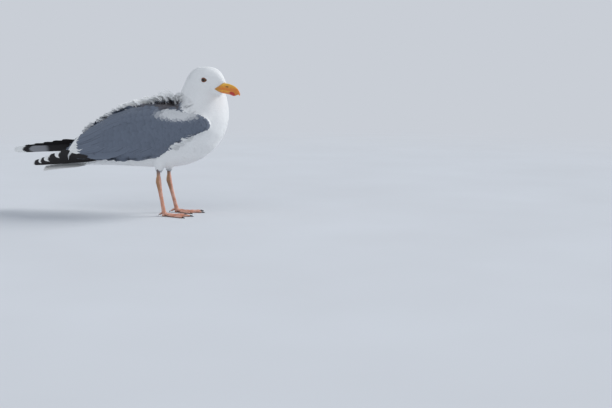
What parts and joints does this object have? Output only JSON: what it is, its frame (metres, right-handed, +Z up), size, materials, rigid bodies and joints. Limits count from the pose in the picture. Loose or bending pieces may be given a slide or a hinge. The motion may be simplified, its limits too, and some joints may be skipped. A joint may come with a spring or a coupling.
{
  "type": "herring gull, standing, life size",
  "caption": "Adult herring gull that stands on both webbed feet with folded wings, its head turned to its right, life size, for display.",
  "frame": {"origin": "middle of the bounding box, on the ground under the soles", "axes": "+X the way the trunk faces, +Y the bird's left, +Z up; the head is turned 32 degrees to its right"},
  "size_m": [0.532, 0.1414, 0.3015],
  "materials": {
    "plumage_body": "matte",
    "plumage_wing": "matte",
    "plumage_wing_tip": "matte",
    "plumage_tail": "matte",
    "bill": "satin",
    "eye": "polished",
    "leg": "satin",
    "claw": "satin"
  },
  "bodies": {
    "root": {"head": "plumage_body", "neck": "plumage_body", "trunk": "plumage_body", "crest": "plumage_wing", "tail": "plumage_tail", "bill_upper": "bill", "bill_lower": "bill", "eye_right": "eye", "eye_left": "eye", "wing_right": "plumage_wing", "wing_left": "plumage_wing", "primaries_right": "plumage_wing_tip", "primaries_left": "plumage_wing_tip", "thigh_right": "plumage_body", "thigh_left": "plumage_body", "shank_right": "leg", "shank_left": "leg", "foot_right": "leg", "foot_left": "leg", "claw_inner_right": "claw", "claw_middle_right": "claw", "claw_outer_right": "claw", "claw_hind_right": "claw", "claw_inner_left": "claw", "claw_middle_left": "claw", "claw_outer_left": "claw", "claw_hind_left": "claw"}
  },
  "joints": []
}
